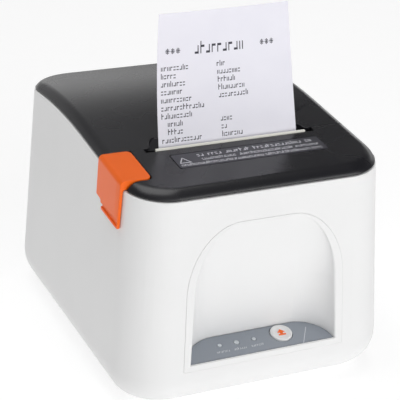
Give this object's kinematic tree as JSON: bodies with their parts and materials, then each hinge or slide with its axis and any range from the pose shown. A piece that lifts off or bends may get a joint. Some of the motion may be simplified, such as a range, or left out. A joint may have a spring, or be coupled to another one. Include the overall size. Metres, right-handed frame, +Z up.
{
  "type": "receipt printer",
  "caption": "Desktop thermal receipt printer with a white case, a black hinged lid, an orange release lever, a front niche with a feed button, and a printed slip in its mouth.",
  "frame": {"origin": "centre of the footprint, on the surface that the rubber feet stand on", "axes": "+X to the printer's right side as its user sees it from the front, +Y to its back, +Z up"},
  "size_m": [0.1532, 0.1918, 0.1967],
  "materials": {
    "white_plastic": "fine satin moulding",
    "black_plastic": "satin moulding",
    "grey_plastic": "satin moulding",
    "orange_plastic": "satin moulding",
    "dark_label": "printed film",
    "light_pipe": "clear moulding",
    "rubber": "matte",
    "steel": "bright sheet",
    "aluminium": "satin",
    "brass": "turned",
    "nylon": "natural nylon",
    "circuit_board": "solder mask",
    "paper": "coated thermal paper",
    "card": "raw card"
  },
  "bodies": {
    "base": {"body_shell": "white_plastic", "niche_insert": "white_plastic", "front_bezel": "black_plastic", "roll_bucket": "black_plastic", "power_inlet": "black_plastic", "usb_socket": "black_plastic", "network_socket": "black_plastic", "drawer_socket": "black_plastic", "switch_frame": "black_plastic", "control_panel": "grey_plastic", "base_plate": "grey_plastic", "label_plate": "dark_label", "status_light_1": "light_pipe", "status_light_2": "light_pipe", "status_light_3": "light_pipe", "rubber_foot_1": "rubber", "rubber_foot_2": "rubber", "rubber_foot_3": "rubber", "rubber_foot_4": "rubber", "base_screw_1": "steel", "base_screw_2": "steel", "base_screw_3": "steel", "base_screw_4": "steel", "lever_pin": "steel", "lever_spring": "steel", "hinge_pin_left": "steel", "hinge_pin_right": "steel", "mech_frame": "steel", "head_spring_left": "steel", "head_spring_right": "steel", "idler_pin": "steel", "feed_motor": "steel", "socket_plate": "steel", "tear_bar": "nylon", "head_ribbon": "nylon", "control_board": "circuit_board", "main_board": "circuit_board", "paper_strip": "paper"},
    "lid": {"lid": "black_plastic", "lid_liner": "black_plastic", "platen_bracket": "steel", "shaft_bush_left": "brass", "shaft_bush_right": "brass"},
    "platen": {"platen_shaft": "steel", "platen_rubber": "rubber", "platen_gear": "nylon"},
    "idler": {"idler_gear": "nylon"},
    "pinion": {"motor_pinion": "brass"},
    "lever": {"release_lever": "orange_plastic"},
    "button": {"feed_button": "white_plastic", "button_inlay": "orange_plastic"},
    "rocker": {"power_rocker": "black_plastic"},
    "roll": {"paper_roll": "paper", "roll_core": "card"},
    "head": {"print_head": "aluminium"}
  },
  "joints": [
    {"name": "lid_hinge", "type": "hinge", "parent": "base", "child": "lid", "pos_m": [0, 0.0832, 0.0975], "axis": [-1, 0, 0], "range_deg": [0, 65]},
    {"name": "platen_spin", "type": "hinge", "parent": "lid", "child": "platen", "pos_m": [0, -0.0345, 0.1135], "axis": [1, 0, 0], "continuous": true},
    {"name": "idler_spin", "type": "hinge", "parent": "base", "child": "idler", "pos_m": [0, -0.03639, 0.09761], "axis": [1, 0, 0], "continuous": true},
    {"name": "pinion_spin", "type": "hinge", "parent": "base", "child": "pinion", "pos_m": [0, -0.03098, 0.08601], "axis": [1, 0, 0], "continuous": true},
    {"name": "roll_spin", "type": "hinge", "parent": "base", "child": "roll", "pos_m": [0, 0.027, 0.0599], "axis": [1, 0, 0], "continuous": true},
    {"name": "lever_pull", "type": "hinge", "parent": "base", "child": "lever", "pos_m": [0, -0.0695, 0.1205], "axis": [1, 0, 0], "range_deg": [0, 8], "stiffness_Nm_per_rad": 0.05, "springref_deg": -5.73},
    {"name": "head_tilt", "type": "hinge", "parent": "base", "child": "head", "pos_m": [0, -0.0435, 0.1005], "axis": [1, 0, 0], "range_deg": [0, 1], "stiffness_Nm_per_rad": 2, "springref_deg": -1.72},
    {"name": "feed_button_press", "type": "slide", "parent": "base", "child": "button", "axis": [0, 0.225, -0.9744], "range_m": [0, 0.0008], "stiffness_N_per_m": 800, "springref_m": -0.0005},
    {"name": "power_rocker_tip", "type": "hinge", "parent": "base", "child": "rocker", "pos_m": [0, 0.086, 0.0395], "axis": [1, 0, 0], "range_deg": [0, 18]}
  ],
  "couplings": [
    {"joint": "idler_spin", "follows": "platen_spin", "ratio": -1},
    {"joint": "pinion_spin", "follows": "platen_spin", "ratio": 1.6667}
  ]
}
